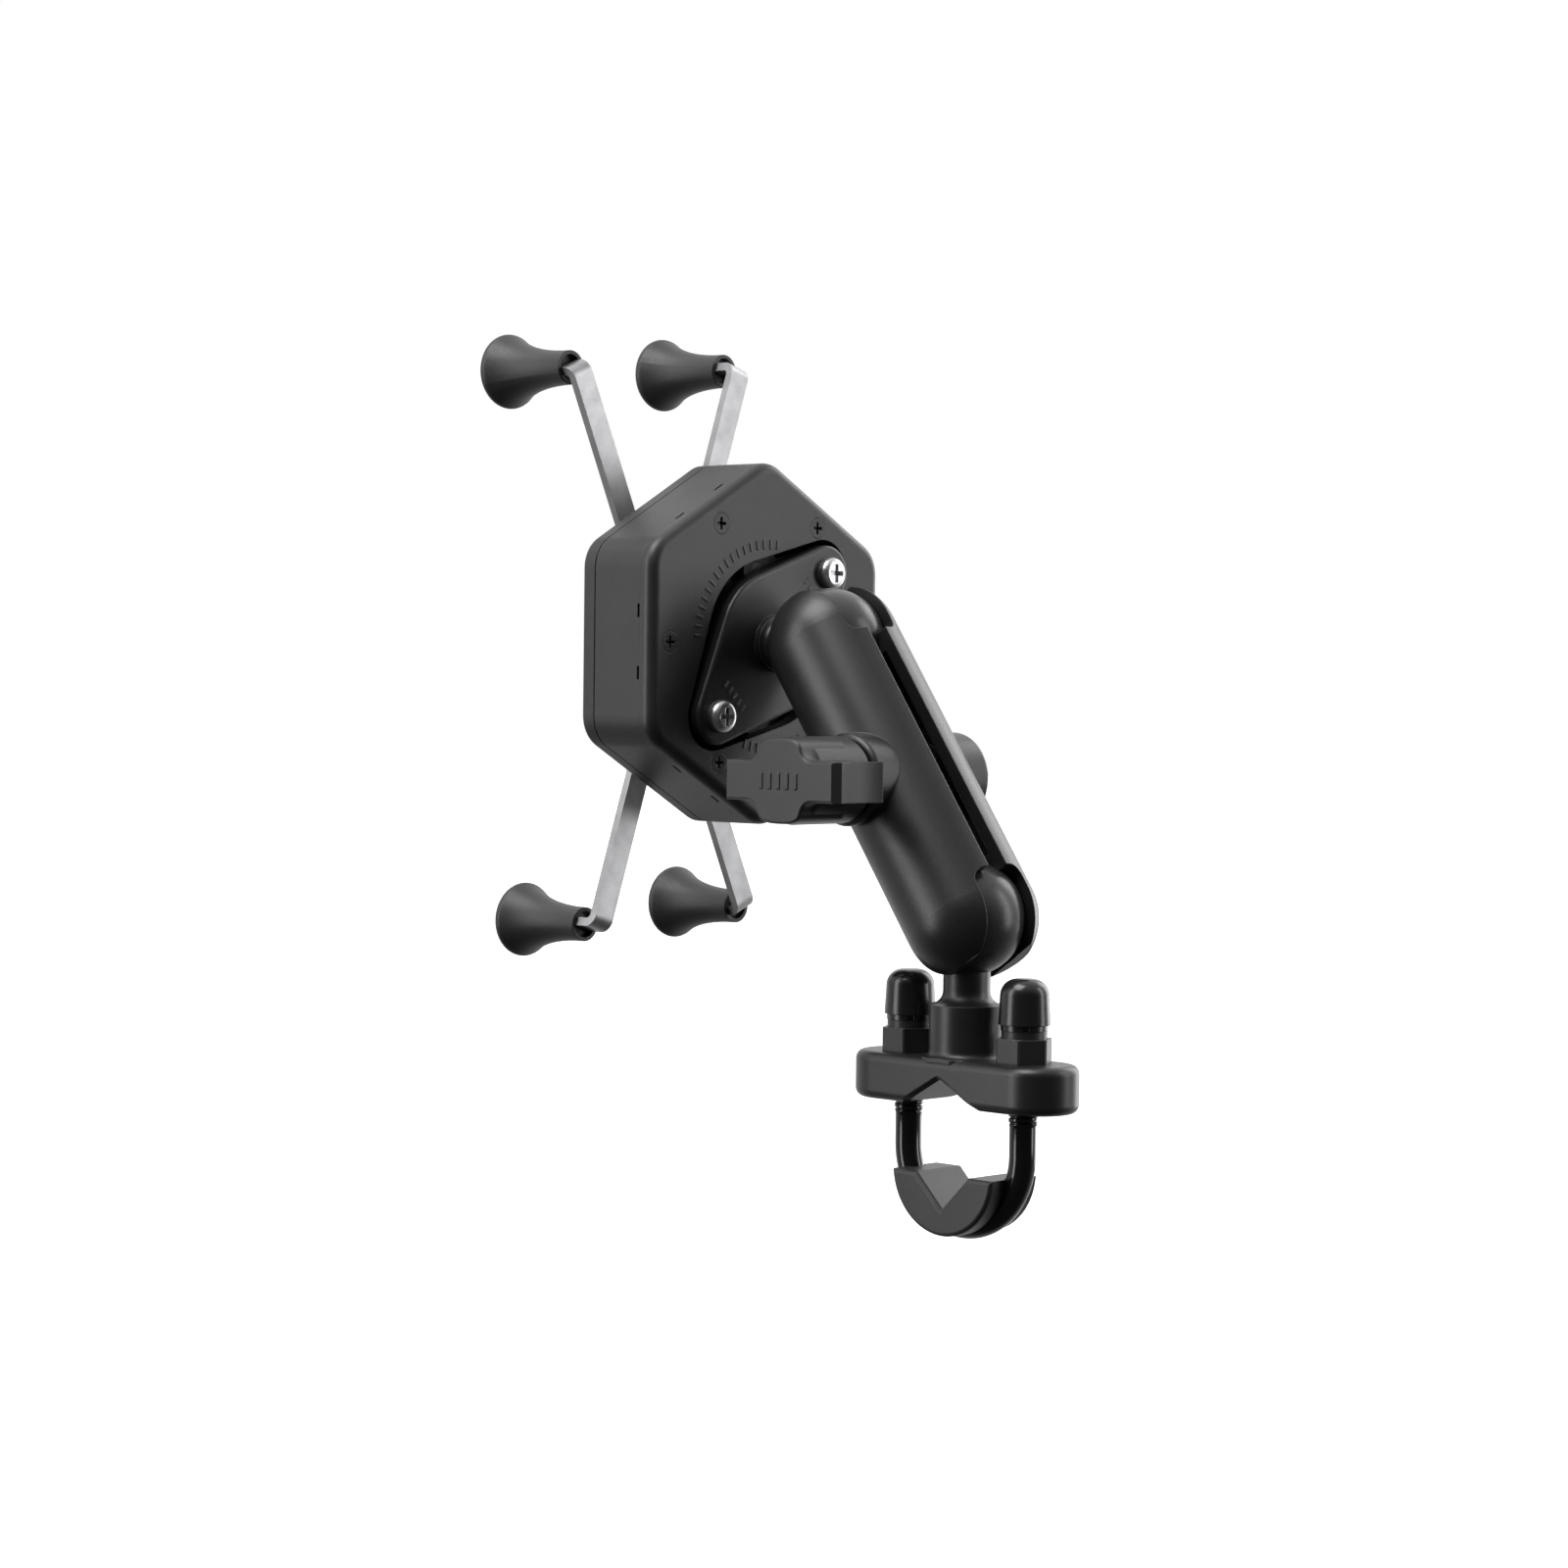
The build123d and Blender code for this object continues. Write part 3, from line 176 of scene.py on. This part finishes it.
def bump(tree, height, distance, strength=1.0, normal=None):
    node = tree.nodes.new("ShaderNodeBump")
    node.inputs["Distance"].default_value = distance
    node.inputs["Strength"].default_value = strength
    tree.links.new(height, node.inputs["Height"])
    if normal:
        tree.links.new(normal, node.inputs["Normal"])
    return node.outputs["Normal"]


def grained(name, tone, edge_highlight, roughness, grain, depth, edge=0.25 * MM, metallic=0.0, specular=0.5,
            stretch=(1, 1, 1), mottle=0.12):
    """A surface with fine grain, uneven gloss and a painted highlight: a lighter colour on its sharp edges.
    """
    material, tree, shader = nodes_of(name)
    fine = noise(tree, grain, 4.0, stretch)
    broad = noise(tree, grain / 22)
    mask, rounded = edge_mask(tree, edge)
    lighter = [min(1, value * (1 + mottle)) for value in tone]
    darker = [value * (1 - mottle) for value in tone]
    body = blend_colours(tree, spread(tree, broad, 0, 1), darker, lighter)
    # Painted highlight: the lighter edge colour is mixed in on the sharp edges, where the edge mask is high.
    mix = tree.nodes.new("ShaderNodeMix")
    mix.data_type = "RGBA"
    mix.inputs["B"].default_value = (*edge_highlight, 1)
    tree.links.new(mask, mix.inputs["Factor"])
    tree.links.new(body, mix.inputs["A"])
    tree.links.new(mix.outputs["Result"], shader.inputs["Base Color"])
    tree.links.new(spread(tree, fine, roughness * 0.88, min(1, roughness * 1.12)), shader.inputs["Roughness"])
    tree.links.new(bump(tree, fine, depth, 1.0, rounded), shader.inputs["Normal"])
    shader.inputs["Metallic"].default_value = metallic
    shader.inputs["Specular IOR Level"].default_value = specular
    return material


def grey(value):
    return (value, value, value * 1.02)


# In each finish the second colour is a painted highlight for its sharp edges.
MATERIALS = {
    "cast_black": grained("powder_coat", grey(0.013), grey(0.05), 0.36, 2600, 0.02 * MM, 0.35 * MM),
    "gloss_black_steel": grained("gloss_black", grey(0.006), grey(0.02), 0.12, 900, 0.003 * MM),
    "black_steel": grained("black_zinc", grey(0.03), grey(0.12), 0.38, 1800, 0.01 * MM, 0.15 * MM, 0.4),
    "black_plastic": grained("glass_filled_plastic", grey(0.02), grey(0.05), 0.4, 3000, 0.02 * MM, 0.3 * MM),
    "nylon": grained("dark_nylon", grey(0.05), grey(0.06), 0.5, 1500, 0.01 * MM),
    "cap_rubber": grained("cap_plastic", grey(0.012), grey(0.03), 0.24, 1500, 0.008 * MM),
    "ball_rubber": grained("ball_rubber", grey(0.03), grey(0.05), 0.3, 1500, 0.01 * MM),
    "spring_steel": grained("spring_steel", grey(0.4), grey(0.5), 0.32, 2500, 0.01 * MM, 0.1 * MM, 1.0),
    "brass": grained("brass", (0.55, 0.38, 0.16), (0.65, 0.5, 0.25), 0.3, 2500, 0.01 * MM, 0.1 * MM, 1.0),
    "bright_zinc": grained("bright_zinc", grey(0.6), grey(0.8), 0.34, 1200, 0.006 * MM, 0.12 * MM, 1.0),
    "isolator_black": grained("anodised_black", grey(0.012), grey(0.03), 0.4, 2500, 0.01 * MM),
    "bush_rubber": grained("bush_rubber", grey(0.02), grey(0.03), 0.6, 1500, 0.01 * MM),
    "housing_black": grained("housing_plastic", grey(0.02), grey(0.045), 0.42, 3400, 0.02 * MM, 0.25 * MM),
    "stainless": grained("brushed_stainless", grey(0.38), grey(0.55), 0.42, 5200, 0.012 * MM, 0.12 * MM, 1.0,
                         stretch=(1, 0.12, 1)),
    "cup_rubber": grained("cup_rubber", grey(0.022), grey(0.035), 0.48, 2600, 0.02 * MM, 0.3 * MM),
}


def dress_frame():
    """Gives every CAD node the finish of its material slot."""
    for part in frame["record"]["subparts"]:
        slots = NODES[part["node"]].data.materials
        material = MATERIALS[part["material_slot"]]
        if not slots:
            slots.append(material)
        for index in range(len(slots)):
            slots[index] = material


# ---- detail pieces ----

def new_piece(name, verts, faces, slot, body, smooth=False):
    """A mesh that moves with a CAD body and takes its finish from a material slot."""
    mesh = bpy.data.meshes.new(name)
    mesh.from_pydata([tuple(vert) for vert in verts], [], faces)
    mesh.materials.append(MATERIALS[slot])
    mesh.polygons.foreach_set("use_smooth", [smooth] * len(mesh.polygons))
    mesh.update()
    piece = bpy.data.objects.new(name, mesh)
    bpy.context.collection.objects.link(piece)
    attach(piece, body)
    return piece


def rod_path():
    """Centres, directions and distances from the tip along the U-bolt, from one tip to the other."""
    low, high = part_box("u_bolt")
    leg = (high.x - low.x) / 2 - MAJOR_RADIUS
    bend_z = low.z + SHANK_RADIUS + leg
    thread_end = PLATE_BOTTOM_Z - THREAD_BELOW_PLATE
    fine = THREAD_PITCH / THREAD_STEPS
    heights = [high.z - index * fine for index in range(int((high.z - thread_end) / fine) + 1)]
    heights.append(bend_z)
    down = [(Vector((-leg, 0, z)), Vector((0, 0, -1)), high.z - z) for z in heights]
    bend = []
    for index in range(1, BEND_STEPS):
        turn = pi * index / BEND_STEPS
        centre = Vector((-leg * cos(turn), 0, bend_z - leg * sin(turn)))
        bend.append((centre, Vector((sin(turn), 0, -cos(turn))), high.z))
    up = [(Vector((leg, 0, z)), Vector((0, 0, 1)), high.z - z) for z in reversed(heights)]
    return down + bend + up, high.z - thread_end


def thread_radius(run, turn, thread_length):
    """The rod's radius at a distance from its tip, with a helical thread that runs out."""
    phase = (run / THREAD_PITCH - turn / tau) % 1
    crest = min(1, CREST_SLOPE * abs(phase - 0.5) / 0.5)
    rolled = MINOR_RADIUS + (MAJOR_RADIUS - MINOR_RADIUS) * crest
    left = min(1, max(0, (thread_length - run) / THREAD_PITCH))
    radius = SHANK_RADIUS + (rolled - SHANK_RADIUS) * left
    return min(radius, MAJOR_RADIUS - TIP_CHAMFER + run) if run < TIP_CHAMFER else radius


def make_u_bolt():
    """The U-bolt again, with real threads on its legs."""
    path, thread_length = rod_path()
    side = Vector((0, 1, 0))
    verts, faces = [], []
    for centre, ahead, run in path:
        out = side.cross(ahead)
        for index in range(AROUND):
            turn = tau * index / AROUND
            radius = thread_radius(run, turn, thread_length)
            verts.append(centre + (side * cos(turn) + out * sin(turn)) * radius)
    for ring in range(len(path) - 1):
        for index in range(AROUND):
            after = (index + 1) % AROUND
            first, second = ring * AROUND, (ring + 1) * AROUND
            faces.append((first + index, first + after, second + after, second + index))
    last = len(verts) - AROUND
    faces.append(tuple(reversed(range(AROUND))))
    faces.append(tuple(range(last, last + AROUND)))
    bolt = new_piece("u_bolt_threaded", verts, faces, "gloss_black_steel", "u_bolt", True)
    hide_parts("u_bolt")


def bar_mesh(bars, proud):
    """Low raised bars: each is a middle, a half-length vector and a half-width vector on a flat face."""
    verts, faces = [], []
    for middle, along, across in bars:
        out = across.cross(along).normalized() * proud
        first = len(verts)
        for level, shrink in ((-out, 1.0), (out, BAR_TOP_SHARE)):
            for a, b in ((-1, -1), (1, -1), (1, 1), (-1, 1)):
                verts.append(middle + level + (along * a + across * b) * shrink)
        quad = range(4)
        faces.append(tuple(first + 4 + index for index in quad))
        for index in quad:
            after = (index + 1) % 4
            faces.append((first + index, first + after, first + 4 + after, first + 4 + index))
    return verts, faces


def back_point(radius, turn, x):
    """A point on the housing's back: 0 degrees is the rider's right and 90 is up."""
    return Vector((x, HEAD.y - radius * cos(turn), HEAD.z + radius * sin(turn)))


def make_back_ticks():
    """Two arcs of plain radial ticks on the housing's back."""
    bars = []
    half_length, half_width = BACK_TICK_HALF
    for start, end, radius in BACK_TICK_ARCS:
        count = round(radius * radians(end - start) / BACK_TICK_SPACING)
        for index in range(count + 1):
            turn = radians(start + (end - start) * index / count)
            middle = back_point(radius, turn, HOUSING_BACK_X)
            along = (back_point(radius + 1, turn, HOUSING_BACK_X) - middle) * half_length
            across = along.normalized().cross(Vector((1, 0, 0))) * half_width
            bars.append((middle, along, across))
    verts, faces = bar_mesh(bars, BACK_TICK_PROUD)
    new_piece("housing_ticks", verts, faces, "housing_black", "housing")


def make_diamond_ticks():
    """Short rows of ticks on the diamond base, just inside its two screws."""
    bars = []
    half_length, half_width = DIAMOND_TICK_HALF
    line = back_point(1, DIAMOND_ANGLE, 0) - back_point(0, DIAMOND_ANGLE, 0)
    row = line.cross(Vector((1, 0, 0)))
    centre = Vector((DIAMOND_FACE_X, HEAD.y, HEAD.z))
    for side in (-1, 1):
        for index in range(-2, 3):
            middle = centre + line * (side * DIAMOND_TICK_REACH) + row * (index * DIAMOND_TICK_SPACING)
            bars.append((middle, line * half_length, row * half_width))
    verts, faces = bar_mesh(bars, DIAMOND_TICK_PROUD)
    new_piece("diamond_ticks", verts, faces, "cast_black", "head")


def make_knob_bars():
    """A plain row of raised bars on the knob's face."""
    bars = []
    half_length, half_width = KNOB_BAR_HALF
    for index in range(-2, 3):
        middle = Vector((KNOB.x + index * KNOB_BAR_SPACING, KNOB_FACE_Y, KNOB.z))
        bars.append((middle, Vector((0, 0, half_length)), Vector((half_width, 0, 0))))
    verts, faces = bar_mesh(bars, KNOB_BAR_PROUD)
    new_piece("knob_bars", verts, faces, "black_plastic", "knob")


def make_details():
    make_u_bolt()
    make_back_ticks()
    make_diamond_ticks()
    make_knob_bars()


# ---- studio ----

def view_axes():
    right = Vector((cos(AZIMUTH), sin(AZIMUTH), 0))
    ahead = Vector((-sin(AZIMUTH) * cos(ELEVATION), cos(AZIMUTH) * cos(ELEVATION), -sin(ELEVATION)))
    return right, right.cross(ahead), ahead


def make_camera():
    right, up, ahead = view_axes()
    data = bpy.data.cameras.new("camera")
    data.lens = LENS
    data.sensor_width = 36
    data.clip_start = 0.01
    data.clip_end = 20
    camera = bpy.data.objects.new("camera", data)
    bpy.context.collection.objects.link(camera)
    turn = Matrix((right, up, -ahead)).transposed().to_4x4()
    place = right * AIM_RIGHT + up * AIM_UP - ahead * DISTANCE
    camera.matrix_world = Matrix.Translation(place) @ turn @ Matrix.Rotation(ROLL, 4, "Z")
    bpy.context.scene.camera = camera


def make_softbox(name, towards, width, height, power):
    """A soft area light that looks at the mount's middle from a direction."""
    centre = (CAD_LOW + CAD_HIGH) / 2
    data = bpy.data.lights.new(name, "AREA")
    data.shape = "RECTANGLE"
    data.size = width
    data.size_y = height
    data.energy = power
    lamp = bpy.data.objects.new(name, data)
    bpy.context.collection.objects.link(lamp)
    direction = Vector(towards).normalized()
    lamp.location = centre + direction * SOFTBOX_DISTANCE
    lamp.rotation_mode = "QUATERNION"
    lamp.rotation_quaternion = (-direction).to_track_quat("-Z", "Y")
    return lamp


def make_world():
    """Pale surroundings: plain white to look at, brightest behind and above the mount for its reflections."""
    world = bpy.data.worlds.new("studio")
    world.use_nodes = True
    tree = world.node_tree
    tree.nodes.clear()
    right, up, ahead = view_axes()
    where = tree.nodes.new("ShaderNodeTexCoord")
    behind = tree.nodes.new("ShaderNodeVectorMath")
    behind.operation = "DOT_PRODUCT"
    behind.inputs[1].default_value = (ahead * 0.8 + Vector((0, 0, 0.6))).normalized()
    tree.links.new(where.outputs["Generated"], behind.inputs[0])
    glow = spread(tree, behind.outputs["Value"], 0.05, 1.15, -0.45, 0.95)
    seen = tree.nodes.new("ShaderNodeBackground")
    seen.inputs["Color"].default_value = (1, 1, 1, 1)
    seen.inputs["Strength"].default_value = 1.0
    lit = tree.nodes.new("ShaderNodeBackground")
    lit.inputs["Color"].default_value = (1, 1, 1, 1)
    tree.links.new(glow, lit.inputs["Strength"])
    path = tree.nodes.new("ShaderNodeLightPath")
    mix = tree.nodes.new("ShaderNodeMixShader")
    output = tree.nodes.new("ShaderNodeOutputWorld")
    tree.links.new(path.outputs["Is Camera Ray"], mix.inputs["Fac"])
    tree.links.new(lit.outputs["Background"], mix.inputs[1])
    tree.links.new(seen.outputs["Background"], mix.inputs[2])
    tree.links.new(mix.outputs["Shader"], output.inputs["Surface"])
    bpy.context.scene.world = world


def make_floor():
    mesh = bpy.data.meshes.new("floor")
    height = CAD_LOW.z - FLOOR_DROP
    corners = [(x * FLOOR_REACH, y * FLOOR_REACH, height) for x, y in ((-1, -1), (1, -1), (1, 1), (-1, 1))]
    mesh.from_pydata(corners, [], [(0, 1, 2, 3)])
    floor = bpy.data.objects.new("floor", mesh)
    bpy.context.collection.objects.link(floor)
    material, tree, shader = nodes_of("floor")
    shader.inputs["Base Color"].default_value = (0.9, 0.9, 0.9, 1)
    shader.inputs["Roughness"].default_value = 0.9
    shader.inputs["Emission Color"].default_value = (1, 1, 1, 1)
    shader.inputs["Emission Strength"].default_value = 0.75
    mesh.materials.append(material)
    floor.visible_diffuse = False
    floor.visible_glossy = False


def make_studio():
    make_camera()
    make_world()
    make_floor()
    right, up, ahead = view_axes()
    make_softbox("top_softbox", -right * 0.5 - ahead * 0.4 + Vector((0, 0, 1.2)), 0.6, 0.6, 8)
    make_softbox("left_softbox", -right - ahead * 0.35 + Vector((0, 0, 0.15)), 0.3, 0.9, 4)
    make_softbox("right_softbox", right - ahead * 0.1 + Vector((0, 0, 0.25)), 0.22, 0.9, 2.5)
    make_softbox("rim_softbox", right + ahead * 0.9 + Vector((0, 0, 0.35)), 0.5, 1.0, 4.5)
    settings = bpy.context.scene.view_settings
    settings.view_transform = "Standard"
    settings.look = "None"


dress_frame()
make_details()
make_studio()
